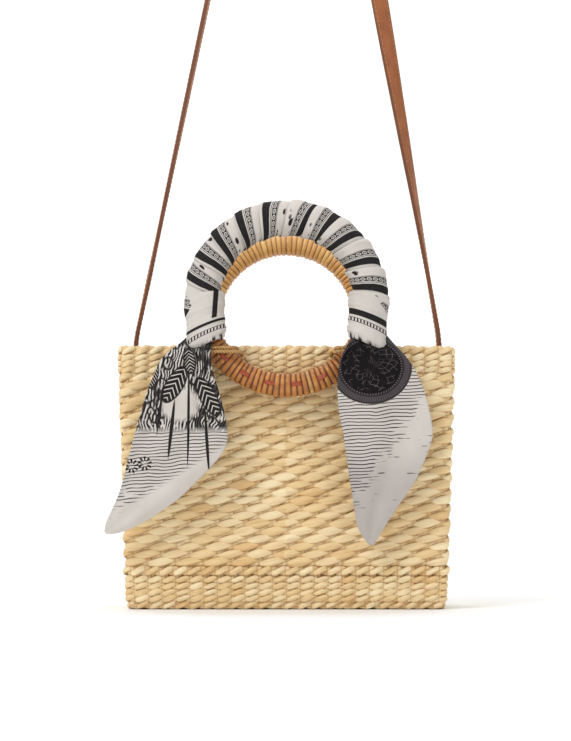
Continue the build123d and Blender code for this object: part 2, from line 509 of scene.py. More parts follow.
def disc_recipe(nodes, entry):
    """Distance from a middle, in shares of two half sizes, after a turn; inside is under 1."""
    x, y, _ = nodes.split(entry[0])
    dx = nodes.math("SUBTRACT", x, entry[1])
    dy = nodes.math("SUBTRACT", y, entry[2])
    cosine = nodes.math("COSINE", entry[5])
    sine = nodes.math("SINE", entry[5])
    turned_x = nodes.total(nodes.product(dx, cosine), nodes.product(dy, sine))
    turned_y = nodes.math("SUBTRACT", nodes.product(dy, cosine), nodes.product(dx, sine))
    right = nodes.math("DIVIDE", turned_x, entry[3])
    up = nodes.math("DIVIDE", turned_y, entry[4])
    far = nodes.math("SQRT", nodes.total(nodes.product(right, right), nodes.product(up, up)))
    return [far, right, up]


def cloth_recipe(nodes, entry):
    """Fine plain weave: two sets of threads, as the product of two sine waves, with some slub."""
    x, y, _ = nodes.split(entry[0])
    one = nodes.math("SINE", nodes.product(x, entry[1]))
    two = nodes.math("SINE", nodes.product(y, entry[1]))
    slub = nodes.noise(entry[0], 60.0, 3.0, 0.6)
    return [nodes.total(nodes.product(one, two, 0.5), slub)]


RECIPES = {
    "strand_fibre": (
        [("Lay", ARROW, None), ("Across", NUMBER, 30.0), ("Along", NUMBER, 2.0)],
        [("Fine", NUMBER), ("Broad", NUMBER)],
        fibre_recipe,
    ),
    "oval": (
        [
            ("Lay", ARROW, None), ("Middle X", NUMBER, 0.0), ("Middle Y", NUMBER, 0.0),
            ("Half width", NUMBER, 0.1), ("Half height", NUMBER, 0.1), ("Turn", NUMBER, 0.0),
        ],
        [("Distance", NUMBER), ("Right", NUMBER), ("Up", NUMBER)],
        disc_recipe,
    ),
    "cloth_weave": (
        [("Lay", ARROW, None), ("Threads", NUMBER, 200.0)],
        [("Height", NUMBER)],
        cloth_recipe,
    ),
}


# ---- woven straw
def end_proud(height):
    """How far the weave stands out at the basket's ends: END_PROUD at the rim, less PROUD_LOST of it
    at the base."""
    return END_PROUD * (1.0 - PROUD_LOST * (1.0 - height / RIM_HEIGHT))


def wall_plan(height, inward):
    """Half width, half depth and corner radius of the basket's plan at a height, moved in from its face."""
    share = 1.0 - height / RIM_HEIGHT
    half_x = RIM_HALF_X + end_proud(height) - BASE_INSET * share - inward
    half_y = RIM_HALF_Y - BASE_INSET * share - inward
    return half_x, half_y, WEAVE_CORNER - CORNER_TIGHTENS * share


def plan_path(share, half_x, half_y, radius):
    """Points and outward directions on a rounded rectangle, for shares of the way round it.
    It starts at the middle of the front and runs to the right: a straight, a quarter turn, and so on."""
    a = half_x - radius
    b = half_y - radius
    quarter = QUARTER * radius
    lengths = np.array([a, quarter, 2 * b, quarter, 2 * a, quarter, 2 * b, quarter, a])
    ends = np.cumsum(lengths)
    way = (share % 1.0) * ends[-1]
    part = np.minimum(np.searchsorted(ends, way, side="right"), 8)
    along = way - (ends - lengths)[part]
    heading = np.array([0, 0, 1, 1, 2, 2, 3, 3, 4])[part] * QUARTER
    starts = np.array(
        [
            (0, -half_y), (a, -half_y), (half_x, -b), (half_x, b), (a, half_y),
            (-a, half_y), (-half_x, b), (-half_x, -b), (-a, -half_y),
        ]
    )[part]
    forward = np.stack([np.cos(heading), np.sin(heading)], axis=-1)
    left = np.stack([-forward[:, 1], forward[:, 0]], axis=-1)
    turned = heading + along / radius
    curve = starts + radius * left + radius * np.stack([np.sin(turned), -np.cos(turned)], axis=-1)
    curved = (part % 2 == 1)[:, None]
    point = np.where(curved, curve, starts + forward * along[:, None])
    final = np.where(curved[:, 0], turned, heading)
    return point, np.stack([np.sin(final), -np.cos(final)], axis=-1)


def wall_path(share, height, inward):
    """Points and outward directions round the wall at a height. The two ends bow in towards their middles,
    where the strap is riveted, by what they stand proud times one less the square of the way out to
    a corner."""
    half_x, half_y, radius = wall_plan(height, inward)
    point, outward = plan_path(share, half_x, half_y, radius)
    middle = np.clip(1.0 - (point[:, 1] / half_y) ** 2, 0, 1)
    bow = end_proud(height) * np.abs(outward[:, 0]) * middle
    return point - outward * bow[:, None], outward


def strand_rows(rng, theta, half_height, half_depth, pinch, point=0.85):
    """Half sizes, tone, shade and lift of one strand of a twist at each turn angle theta. With s the size
    of sin(theta), it is half_height * (pinch + (1 - pinch) * s^point) tall, so it is widest in the middle
    of a hump and pinched where it crosses, and each hump varies a little."""
    hump = np.floor(theta / math.pi).astype(int)
    pick = hump - hump.min()
    size = rng.normal(1.0, 0.07, pick.max() + 1)[pick]
    tone = rng.uniform(0.0, 1.0, pick.max() + 1)[pick]
    lift = rng.normal(0.0, 0.22, pick.max() + 1)[pick] * np.abs(np.sin(theta))
    full = np.abs(np.sin(theta))
    wide = pinch + (1 - pinch) * full**point
    return half_height * wide * size, half_depth * (0.72 + 0.28 * full), tone, 1.0 - full, lift


def twisted_row(shape, rng, height, humps, steps, rise, reach, half_height, half_depth, phase,
                inward=STRAND_INWARD, pinch=0.42, sides=10):
    """Two strands twisted round each other along the wall at a height. With t the way round in humps
    times pi plus the phase, a strand's height is height - rise * cos(t) and it stands out by
    reach * sin(t) from the middle of the wall; the second strand is half a turn further on."""
    count = humps * steps
    share = np.arange(count) / count
    point, outward = wall_path(share, height, inward)
    for strand in range(2):
        theta = math.pi * humps * share + phase + strand * math.pi
        tall, deep, tone, shade, lift = strand_rows(rng, theta, half_height, half_depth, pinch)
        out = reach * np.sin(theta) + lift * 0.5
        level = height - rise * np.cos(theta) + lift
        centre = np.concatenate([point + outward * out[:, None], level[:, None]], axis=1)
        first = np.concatenate([outward * deep[:, None], np.zeros((count, 1))], axis=1)
        second = np.stack([np.zeros(count), np.zeros(count), tall], axis=1)
        hump = (np.floor(theta / math.pi) % (humps + 2)).astype(int)
        crease = rng.uniform(0, ROUND, humps + 2)[hump]
        angle = -QUARTER + np.arange(sides) * ROUND / sides
        folded = 1 + 0.05 * np.cos(3 * angle[None] + crease[:, None])
        tube = swept(centre, first, second, sides, folded, -QUARTER)
        along = np.linspace(0, humps, count + 1) + rng.uniform(0, 40)
        shape.tube(tube, closed=True, along=along, tone=tone[:, None], shade=shade[:, None])


def straight_row(shape, rng, y, half_length, humps, phase):
    """One twisted row of the bottom, along the bag: as a wall's row, lying flat, with closed ends."""
    count = humps * 9 + 1
    x = np.linspace(-half_length, half_length, count)
    for strand in range(2):
        theta = math.pi * humps * np.linspace(0, 1, count) + phase + strand * math.pi
        wide, deep, tone, shade, lift = strand_rows(rng, theta, 3.5, 2.0, 0.45)
        centre = np.stack([x, y - 1.0 * np.cos(theta) + lift, 3.6 - 1.3 * np.sin(theta)], axis=1)
        first = np.stack([np.zeros(count), wide, np.zeros(count)], axis=1)
        second = np.stack([np.zeros(count), np.zeros(count), deep], axis=1)
        along = np.linspace(0, humps, count + 1) + rng.uniform(0, 40)
        shape.tube(swept(centre, first, second, 8), along=along, tone=tone[:, None], shade=shade[:, None])


def straw_finish(choice):
    """Dry flattened straw: fine lengthwise fibres, pale on the hump, with painted golden shade where the
    strands cross and along their top and bottom edges.
    """
    finish = Finish("straw", Roughness=0.62)
    finish.shader.inputs["Specular IOR Level"].default_value = 0.35
    fibre = finish.group(shared("strand_fibre"), finish.lay(), 26.0, 1.3)
    tone = finish.value("tone")
    shade = finish.value("shade")
    across = finish.split(finish.lay())[0]
    body = finish.mix(finish.ramp(tone, 0.2, 1.0), tuple(choice.straw), tuple(choice.straw_light))
    streak = finish.ramp(fibre[1], 0.45, 0.75)
    body = finish.mix(finish.product(streak, 0.30), body, tuple(choice.straw_shade_and_streak))
    amber = finish.ramp(tone, 0.035, 0.03)
    body = finish.mix(finish.product(amber, 0.28), body, tuple(choice.straw_amber))
    # painted shade: golden darkening along the top and bottom edges of each strand and near where it crosses
    # the other
    side = finish.math("FRACT", finish.product(across, 2.0))
    brim_shade = finish.math("ABSOLUTE", finish.math("SUBTRACT", side, 0.5))
    brim_shade = finish.ramp(brim_shade, 0.24, 0.47)
    under = finish.most(finish.product(finish.ramp(shade, 0.70, 1.0), 0.45), finish.product(brim_shade, 0.72))
    body = finish.mix(under, body, tuple(choice.straw_shade_and_streak))
    fleck = finish.ramp(fibre[0], 0.68, 0.8)
    body = finish.mix(finish.product(fleck, 0.22), body, tuple(choice.straw_amber))
    height = finish.total(fibre[0], finish.product(fibre[1], 1.6))
    rough = finish.ramp(fibre[1], 0.3, 0.7, 0.52, 0.74)
    return finish.set(Base_Color=body, Roughness=rough, Normal=finish.bump(height, 0.55, 0.0009))


class BASKETBAG_OT_wall(Operator):
    """Weaves the broad middle rows of the wall, in two pieces"""

    bl_idname = "basketbag.wall"
    bl_label = "Wall Weave"

    def execute(self, context):
        choice = context.scene.basket_bag_weave
        material = straw_finish(choice)
        rng = np.random.default_rng(11)
        levels = np.linspace(*WALL_LEVELS, choice.wall_rows)
        half = choice.wall_rows // 2
        for name, rows in (
            ("lower_wall_weave", range(half)),
            ("upper_wall_weave", range(half, choice.wall_rows)),
        ):
            shape = Shape()
            for row in rows:
                phase = QUARTER * (row % 2) + rng.normal(0, 0.16)
                level = levels[row] + rng.normal(0, 0.15)
                twisted_row(shape, rng, level, choice.wall_humps, steps=12, rise=1.55, reach=1.85,
                            half_height=4.15, half_depth=2.0, phase=phase, pinch=0.40)
            piece = shape.build(name, material)
            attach(piece, "basket")
            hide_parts("basket_body")
        return {"FINISHED"}


class BASKETBAG_OT_borders(Operator):
    """Weaves the rim, the fine borders, the raised welt and the rope round the foot"""

    bl_idname = "basketbag.borders"
    bl_label = "Rim and Foot Borders"

    def execute(self, context):
        choice = context.scene.basket_bag_weave
        material = straw_finish(choice)
        rng = np.random.default_rng(23)
        fine = {"steps": 10, "rise": 1.3, "reach": 1.5, "half_depth": 2.0, "pinch": 0.48}
        top = Shape()
        twisted_row(top, rng, 215.7, choice.top_humps, steps=9, rise=1.9, reach=1.9, half_height=3.0,
                    half_depth=2.1, phase=0.0, inward=4.2, pinch=0.72)
        for level in RIM_LEVELS:
            phase = rng.normal(0, 0.1)
            twisted_row(top, rng, level, choice.top_humps, half_height=2.9, phase=phase, **fine)
        twisted_row(top, rng, 193.2, choice.top_humps - 12, steps=10, rise=1.8, reach=1.9,
                    half_height=3.5, half_depth=2.1, phase=0.4, pinch=0.55)
        foot = Shape()
        twisted_row(foot, rng, 32.0, choice.foot_humps, steps=10, rise=1.9, reach=2.0, half_height=3.0,
                    half_depth=2.2, phase=0.3, inward=2.7, pinch=0.72)
        for level in FOOT_LEVELS:
            phase = rng.normal(0, 0.08)
            twisted_row(foot, rng, level, choice.foot_humps, half_height=2.95, phase=phase, **fine)
        twisted_row(foot, rng, 4.2, choice.foot_humps, steps=10, rise=1.7, reach=1.8, half_height=2.6,
                    half_depth=2.1, phase=0.5, inward=5.0, pinch=0.78)
        for name, shape in (("rim_border_weave", top), ("foot_border_weave", foot)):
            piece = shape.build(name, material)
            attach(piece, "basket")
        return {"FINISHED"}


class BASKETBAG_OT_stakes(Operator):
    """Sets the upright stakes inside the wall and weaves the flat bottom"""

    bl_idname = "basketbag.stakes"
    bl_label = "Stakes and Bottom"

    def execute(self, context):
        choice = context.scene.basket_bag_weave
        material = straw_finish(choice)
        rng = np.random.default_rng(37)
        levels = np.linspace(3.0, RIM_HEIGHT - 5.0, 14)
        count = choice.wall_humps * 2
        share = (np.arange(count) + 0.25) / count
        plans = [wall_path(share, level, STRAND_INWARD) for level in levels]
        point = np.stack([plan[0] for plan in plans], axis=1)
        outward = np.stack([plan[1] for plan in plans], axis=1)
        stakes = Shape()
        for k in range(count):
            centre = np.concatenate([point[k], levels[:, None]], axis=1)
            flat = np.concatenate([outward[k] * 0.8, np.zeros((len(levels), 1))], axis=1)
            side = np.stack([-outward[k][:, 1], outward[k][:, 0], np.zeros(len(levels))], axis=1) * 2.3
            along = np.linspace(0, 18, len(levels) + 1) + rng.uniform(0, 40)
            tube = swept(centre, flat, side, 8)
            stakes.tube(tube, along=along, tone=rng.uniform(0, 1), shade=0.55)
        piece = stakes.build("wall_stakes", material)
        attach(piece, "basket")
        half_x, half_y, radius = wall_plan(0.0, 3.0)
        bottom = Shape()
        middles = np.linspace(-half_y + 3.0, half_y - 3.0, 14)
        for row, y in enumerate(middles):
            corner = max(abs(y) - (half_y - radius), 0.0)
            half_length = half_x - radius + math.sqrt(radius**2 - corner**2)
            straight_row(bottom, rng, y, half_length, 18, QUARTER * (row % 2))
        piece = bottom.build("bottom_weave", material)
        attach(piece, "basket")
        return {"FINISHED"}


# ---- ring handles
def ring_frame(angle, side):
    """Middle line of a ring handle at an angle from the right-hand side through the top: the point,
    the direction away from the ring's middle, and the direction away from the basket."""
    away = np.stack([np.cos(angle), np.zeros_like(angle), np.sin(angle)], axis=-1)
    centre = np.array([0.0, side * abs(RING_Y), RING_HEIGHT]) + RING_RADIUS * away
    front = np.broadcast_to(np.array([0.0, float(side), 0.0]), away.shape)
    return centre, away, front


def ring_winding(rng, turns, groove, side, first_strand, sides=28, steps=8):
    """Turns of flattened cane round a ring. With f the share of the way across a turn, the tube's radius
    is less by groove * (1 - sqrt(1 - (2f - 1)^2)), and where the dyed strand lies on top of a turn it
    dips by as much as the strand is thick, over a short stretch of the tube's front."""
    count = turns * steps
    wide = rng.normal(1.0, 0.09, turns)
    edges = np.concatenate([[0.0], np.cumsum(wide)]) / wide.sum()
    share = np.linspace(0.03, 0.97, steps)
    turn = np.repeat(np.arange(turns), steps)
    inside = np.tile(share, turns)
    place = edges[turn] + (edges[turn + 1] - edges[turn]) * inside
    angle = place * ROUND + first_strand
    centre, away, front = ring_frame(angle, side)
    psi = np.arange(sides) * ROUND / sides
    crown = 1 - np.sqrt(np.maximum(1 - (2 * inside - 1) ** 2, 0))
    tight = rng.normal(0.0, 0.13, turns)[turn]
    radius = TUBE - 0.05 + tight - groove * crown
    over = ((turn % DYED_REPEAT) < DYED_OVER).astype(float)
    facing = np.abs((psi + math.pi) % ROUND - math.pi)
    press = np.clip(1 - (facing / 0.26) ** 2, 0, 1) ** 0.6
    dip = 1.15 * over[:, None] * press[None]
    shoulder = 0.25 * over[:, None] * np.exp(-(((facing - 0.36) / 0.10) ** 2))[None]
    full = radius[:, None] - dip + shoulder
    lean = rng.normal(0.0, 0.004, turns)[turn]
    spoke = front[:, None] * np.cos(psi)[None, :, None] + away[:, None] * np.sin(psi)[None, :, None]
    points = centre[:, None] + full[..., None] * spoke
    along_ring = np.stack([-np.sin(angle), np.zeros(count), np.cos(angle)], axis=-1)
    points = points + along_ring[:, None] * (lean[:, None] * RING_RADIUS * np.sin(psi)[None])[..., None]
    tone = rng.uniform(0, 1, turns)[turn]
    return points, tone, crown, turn


def dyed_strand(side, first_strand, turns, steps=10, sides=8):
    """The dyed strand: a flat ribbon round the ring's face that lies over two turns and under three.
    Its distance from the tube's middle swings between the two levels with a smoothed square wave."""
    count = turns * steps
    place = np.arange(count) / count
    angle = place * ROUND + first_strand
    centre, away, front = ring_frame(angle, side)
    where = (place * turns) % DYED_REPEAT
    on_top = np.clip((1.12 - np.abs(where - 1.0)) / 0.34, 0, 1)
    on_top = on_top * on_top * (3 - 2 * on_top)
    level = TUBE - 2.2 + 1.55 * on_top
    middle = centre + front * level[:, None]
    wide = 1.05 + 0.75 * on_top
    return swept(middle, away * wide[:, None], front * 0.55, sides)


def cane_finish(choice, name, painted_light):
    """Varnished split cane: pale crown, painted shade darkening each turn into its grooves, streaks along
    each turn, and odd yellow turns.
    The last argument is the share of painted light laid over the face, as a pale colour, which also narrows
    the painted shade in the grooves."""
    finish = Finish(name, Roughness=0.38)
    finish.shader.inputs["Coat Roughness"].default_value = 0.25
    finish.shader.inputs["Coat Weight"].default_value = 0.12
    fibre = finish.group(shared("strand_fibre"), finish.lay(), 6.0, 3.0)
    tone = finish.value("tone")
    shade = finish.value("shade")
    body = finish.mix(finish.ramp(tone, 0.0, 1.0, 0.0, 0.55), tuple(choice.cane), paint(166, 100, 40))
    body = finish.mix(finish.ramp(tone, 0.93, 0.95), body, paint(222, 184, 112))
    body = finish.mix(finish.ramp(fibre[1], 0.35, 0.72, 0.0, 0.75), body, paint(148, 84, 34))
    # painted light: a pale colour laid over the whole face of the lit ring
    body = finish.mix(finish.ramp(tone, 0.0, 1.0, 0.6 * painted_light, painted_light), body, paint(244, 196, 120))
    # painted shade in the grooves between turns, narrowed where painted light is laid over the ring
    groove = finish.ramp(shade, 0.08 + 0.18 * painted_light, 0.62 + 0.33 * painted_light)
    body = finish.mix(groove, body, tuple(choice.cane_groove_shade))
    height = finish.total(fibre[0], fibre[1])
    rough = finish.ramp(fibre[0], 0.3, 0.7, 0.32, 0.5)
    return finish.set(Base_Color=body, Roughness=rough, Normal=finish.bump(height, 0.25, 0.0004))


def dyed_finish(choice):
    """Red-brown dyed cane with lighter rubbed streaks."""
    finish = Finish("dyed cane", Roughness=0.4)
    finish.shader.inputs["Coat Weight"].default_value = 0.3
    fibre = finish.group(shared("strand_fibre"), finish.lay(), 5.0, 90.0)
    body = finish.mix(finish.ramp(fibre[1], 0.4, 0.8, 0.0, 0.6), tuple(choice.dyed), paint(186, 92, 52))
    return finish.set(Base_Color=body, Normal=finish.bump(fibre[0], 0.3, 0.0004))


def cord_finish(name, light, deep):
    """Tight twisted cord: slanting strands as a sine wave of the place's three values added up."""
    finish = Finish(name, Roughness=0.7)
    x, y, z = finish.split(finish.objects())
    slant = finish.total(finish.product(x, 2600.0), finish.product(z, 2600.0), finish.product(y, 1500.0))
    twist = finish.math("SINE", slant)
    grain = finish.noise(finish.objects(), 900.0, 3.0, 0.6)
    share = finish.total(finish.product(twist, 0.35), grain)
    return finish.set(Base_Color=finish.mix(finish.ramp(share, 0.1, 0.9), deep, light),
                      Normal=finish.bump(share, 0.5, 0.0006))


def dress_nodes(material, *names):
    """Gives CAD nodes a better material."""
    for name in names:
        slots = frame["nodes"][name].data.materials
        slots.clear()
        slots.append(material)


class BASKETBAG_OT_rings(Operator):
    """Winds the two ring handles with cane and the dyed strand, and finishes their lashings"""

    bl_idname = "basketbag.rings"
    bl_label = "Ring Handles"

    def execute(self, context):
        choice = context.scene.basket_bag_handles
        dyed = dyed_finish(choice)
        groove = choice.groove * METRE
        first = math.radians(-83.4 - 0.2 * 18.0)
        for side, body in ((-1, "front"), (1, "rear")):
            rng = np.random.default_rng(51 + side)
            points, tone, shade, turn = ring_winding(rng, choice.turns, groove, side, first)
            shape = Shape()
            along = np.append(turn, choice.turns).astype(float)
            shape.tube(points, closed=True, across=np.linspace(0, 4, 29), along=along * 1.37,
                       tone=tone[:, None], shade=shade[:, None])
            # the rear ring gets painted light and the front ring none, so the front ring reads as shaded
            cane = cane_finish(choice, f"{body} ring cane", 0.0 if side < 0 else 0.7)
            piece = shape.build(f"{body}_ring_winding", cane)
            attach(piece, f"{body}_handle")
            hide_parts(f"{body}_ring_cane")
            shape = Shape()
            shape.tube(dyed_strand(side, first, choice.turns), closed=True)
            piece = shape.build(f"{body}_ring_dyed_strand", dyed)
            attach(piece, f"{body}_handle")
            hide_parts(f"{body}_ring_accent_cane")
        cord = cord_finish("lashing cord", paint(206, 166, 106), paint(140, 96, 48))
        dress_nodes(cord, "front_left_lashing", "front_right_lashing", "rear_left_lashing",
                    "rear_right_lashing")
        dress_nodes(cord_finish("cane core", paint(190, 150, 100), paint(150, 110, 66)),
                    "front_ring_core", "rear_ring_core")
        return {"FINISHED"}


# ---- scarf
WRAP_FIRST = math.radians(201.0)
WRAP_LAST = math.radians(-19.0)
# outer and inner edge of each hanging end: to the right of its knot, and up from the rim
LEFT_TAIL = (
    (
        (-8, 16), (-12, 7), (-20, -1), (-34, -12), (-46, -40), (-56, -73), (-63, -98), (-69, -122),
        (-80, -146), (-83.5, -151), (-82.5, -155),
    ),
    (
        (6, 16), (7, 5), (5, -8), (5, -21), (11, -38), (17, -60), (20, -80), (17, -90), (4, -104),
        (-20, -128), (-48, -147), (-67, -156), (-76, -158.5), (-81, -157.5),
    ),
)
RIGHT_TAIL = (
    (
        (-8, 16), (-11, 6), (-18, -4), (-24, -17), (-26, -34), (-25, -55), (-20, -80), (-17, -103),
        (-12, -134), (-9, -154), (0, -166),
    ),
    (
        (9, 16), (13, 8), (21, -1), (31, -13), (42, -32), (48, -50), (53, -74), (52, -82), (40, -112),
        (18, -144), (4, -167),
    ),
)
# how far each height of a hanging end lies in front of the bag's middle
TAIL_DEPTH = (
    (40, 60, 110, 150, 172, 190, 204, 212, 217, 224, 240),
    (-63, -65.5, -74, -81.5, -85.5, -87.0, -87.0, -84.5, -80.0, -76.5, -75),
)


def smooth_edge(points, count, reach):
    """Even steps along a line of corners by its length, each averaged with its neighbours
    within reach steps; the ends are kept by carrying the line on past them."""
    corners = np.array(points, float)
    length = np.concatenate([[0.0], np.cumsum(np.linalg.norm(np.diff(corners, axis=0), axis=1))])
    at = np.linspace(0, length[-1], count)
    line = np.stack([np.interp(at, length, corners[:, k]) for k in range(2)], axis=1)
    before = 2 * line[0] - line[reach:0:-1]
    after = 2 * line[-1] - line[-2:-reach - 2:-1]
    longer = np.concatenate([before, line, after])
    kernel = np.hanning(2 * reach + 3)[1:-1]
    kernel = kernel / kernel.sum()
    return np.stack([np.convolve(longer[:, k], kernel, mode="valid") for k in range(2)], axis=1)


def tail_sheet(side, edges, rows=110, columns=64):
    """A hanging end: each row runs straight from one smoothed edge to the other. Its depth follows
    TAIL_DEPTH, past the ring and back towards the wall. Gathers are two sine waves across, of 4.3 and
    9 waves, that fade as a bell curve of the way down and flatten under the tie. Two slow folds run
    towards the tip, and the middle is crowned by a bell curve of the way down."""
    one = smooth_edge(edges[0], rows, 7)
    two = smooth_edge(edges[1], rows, 7)
    down = np.linspace(0, 1, rows)[:, None]
    over = np.linspace(0, 1, columns)[None]
    x = one[:, :1] + (two[:, :1] - one[:, :1]) * over
    z = one[:, 1:] + (two[:, 1:] - one[:, 1:]) * over
    level = RIM_HEIGHT + z
    below = level + side * 5.0 * np.clip(x / 12, -1, 1) * np.clip((level - 190) / 20, 0, 1)
    depth = np.interp(below, *TAIL_DEPTH)
    gather = np.exp(-((down / 0.26) ** 2)) * np.clip((219 - below) / 10, 0.15, 1)
    depth = depth - 2.6 * gather * np.sin(ROUND * 4.3 * over + side * 0.8 + 1.5 * down)
    depth = depth - 1.0 * gather * np.sin(ROUND * 9.0 * over + 3.0 * down)
    slow = np.clip(down * 2.2, 0, 1)
    slow = slow * (1 - down**4)
    depth = depth - 2.3 * slow * (1 - 0.4 * down) * np.sin(ROUND * 0.95 * over - side * 1.1 + 2.6 * down)
    depth = depth - 1.1 * slow * np.sin(ROUND * 2.1 * over + 1.0 + 3.4 * down)
    crown = 3.2 * np.exp(-(((down - 0.20) / 0.16) ** 2)) * (1 - (2 * (over - 0.5)) ** 2)
    depth = depth - crown
    points = np.stack([side * KNOT_X + x + 0 * depth, depth, level + 0 * depth], axis=-1)
    return points, x / 100, z / 100


def wrap_sheet(turns, rng, steps=60, columns=22):
    """The scarf wound round the front ring: a strip twice as wide as its pitch on a helix. Its radius falls
    from the edge that shows to the edge that the next turn covers, so every turn ends in a step.
    Pleats are sine waves across the strip that swell and fade on the way round the tube."""
    pitch = (WRAP_FIRST - WRAP_LAST) / (turns + 1)
    rows = turns * steps + 1
    turn = np.linspace(0, turns, rows)
    psi = turn * ROUND + math.pi
    across = np.linspace(0, 1, columns)
    uneven = np.interp(turn, np.arange(turns + 2), rng.normal(0, 0.10, turns + 2))
    angle = WRAP_FIRST - pitch * (turn + uneven)[:, None] - 2.0 * pitch * across[None]
    angle = np.maximum(angle, WRAP_LAST)
    centre, away, front = ring_frame(angle.ravel(), -1)
    shape = (rows, columns, 3)
    centre, away, front = centre.reshape(shape), away.reshape(shape), front.reshape(shape)
    swell = 0.5 + 0.5 * np.sin(psi * 0.5 + wobble(rng, rows, 24, 1.6))
    sway = wobble(rng, rows, 18, 0.25)[:, None]
    pleat = 0.42 * swell[:, None] * np.sin(ROUND * (3.2 * across[None] + sway))
    fine = 0.16 * np.sin(ROUND * (7.0 * across[None] + wobble(rng, rows, 20, 0.4)[:, None]))
    rolled = 0.35 * np.exp(-((across / 0.05) ** 2))[None]
    radius = 15.6 - 3.4 * across[None] + pleat + fine - rolled
    radius = radius + wobble(rng, rows, 40, 0.22)[:, None]
    points = centre + radius[..., None] * (
        front * np.cos(psi)[:, None, None] + away * np.sin(psi)[:, None, None]
    )
    mirror = np.broadcast_to((angle[:, :1] < math.radians(97)).astype(float), (rows, columns))
    drift = np.interp(turn, np.arange(turns + 2), rng.normal(0, 0.05, turns + 2))
    return points, mirror, across, psi * 0.012, np.broadcast_to(drift[:, None], (rows, columns))


def tie_shape(side, rows=64, columns=80):
    """The last turn over the ring: a sleeve round the tube, broad above and drawn in below. Its half
    width and half depth follow its height; folds run across it as sine waves of the height that
    slope with the way round, and gathers run down it near the throat."""
    height = np.linspace(0, 1, rows)
    angle = np.arange(columns) * ROUND / columns
    stops = [0, 0.05, 0.14, 0.35, 0.6, 0.82, 0.95, 1.0]
    half_width = np.interp(height, stops, [14.6, 15.8, 16.4, 16.7, 16.4, 15.6, 14.2, 11.5])
    half_depth = np.interp(height, stops, [13.9, 15.0, 15.4, 15.6, 14.6, 11.6, 9.0, 6.0])
    lean = np.interp(height, [0, 0.5, 1], [-0.6, 0.4, -1.6])
    middle_x = side * (KNOT_X + lean)
    middle_y = np.interp(height, [0, 0.45, 0.8, 1.0], [-68.0, -69.6, -74.6, -77.5])
    slope = -side * 5.0
    across = np.cos(angle)
    sloped = slope * across[None] * np.interp(height, [0, 1], [0.3, 1.0])[:, None]
    level = np.interp(height, [0, 1], [262.0, 217.5])[:, None] + sloped
    seam = height[:, None] * 44.0 + slope * 0.6 * across[None]
    fold = 0.020 * np.sin(seam * 0.55) + 0.012 * np.sin(seam * 1.3 + 2.0 * np.sin(angle)[None])
    step = 0.055 * np.tanh((seam - 27.0) / 0.5) * 0.5 + 0.035 * np.tanh((seam - 35.0) / 0.5) * 0.5
    gather = 0.03 * np.clip((height[:, None] - 0.72) / 0.28, 0, 1) * np.sin(11 * angle)[None]
    scale = 1 + fold + step + gather
    x = middle_x[:, None] + half_width[:, None] * across[None] * scale
    y = middle_y[:, None] - half_depth[:, None] * np.sin(angle)[None] * scale
    ends = np.concatenate([[0.35], np.ones(rows - 2), [0.3]])[:, None]
    x = middle_x[:, None] + (x - middle_x[:, None]) * ends
    y = middle_y[:, None] + (y - middle_y[:, None]) * ends
    return np.stack([x, y, level + 0 * x], axis=-1), seam


def cloth_base(name):
    """A thin matt cloth with a fine weave, ready for its print."""
    finish = Finish(name, Roughness=0.85)
    finish.shader.inputs["Specular IOR Level"].default_value = 0.15
    return finish


def cloth_done(finish, ink, choice, grey=None):
    """Lays the print on the ground, with a soft unevenness in both, and the weave's bump."""
    patch = finish.noise(finish.objects(), 55.0, 3.0, 0.6)
    uneven = finish.ramp(patch, 0.35, 0.8, 0.0, 0.30)
    ground = finish.mix(uneven, tuple(choice.cloth), paint(178, 168, 156))
    # grey lays this grey over the ground: the grey print ring, and on the right end painted shade towards its
    # tip
    if grey is not None:
        ground = finish.mix(grey, ground, tuple(choice.grey_ink_and_shade))
    dry = finish.ramp(finish.noise(finish.objects(), 1500.0, 2.0, 0.6), 0.3, 0.75, 1.0, 0.95)
    body = finish.mix(finish.product(ink, dry), ground, tuple(choice.ink))
    weave = finish.group(shared("cloth_weave"), finish.objects(), 9000.0)[0]
    return finish.set(Base_Color=body, Normal=finish.bump(weave, 0.12, 0.0003))


def scallop_row(nodes, along, across, middle, size, pitch):
    """A row of small loops with a dot in each: distances from the middles of even steps."""
    cell = nodes.math("SUBTRACT", nodes.math("FRACT", nodes.math("DIVIDE", along, pitch)), 0.5)
    up = nodes.math("DIVIDE", nodes.math("SUBTRACT", across, middle), size)
    far = nodes.math("SQRT", nodes.math("ADD", nodes.product(cell, cell), nodes.product(up, up)))
    loop = nodes.between(far, 0.26, 0.42, 0.03)
    dot = nodes.ramp(far, 0.12, 0.08)
    return nodes.most(loop, dot)


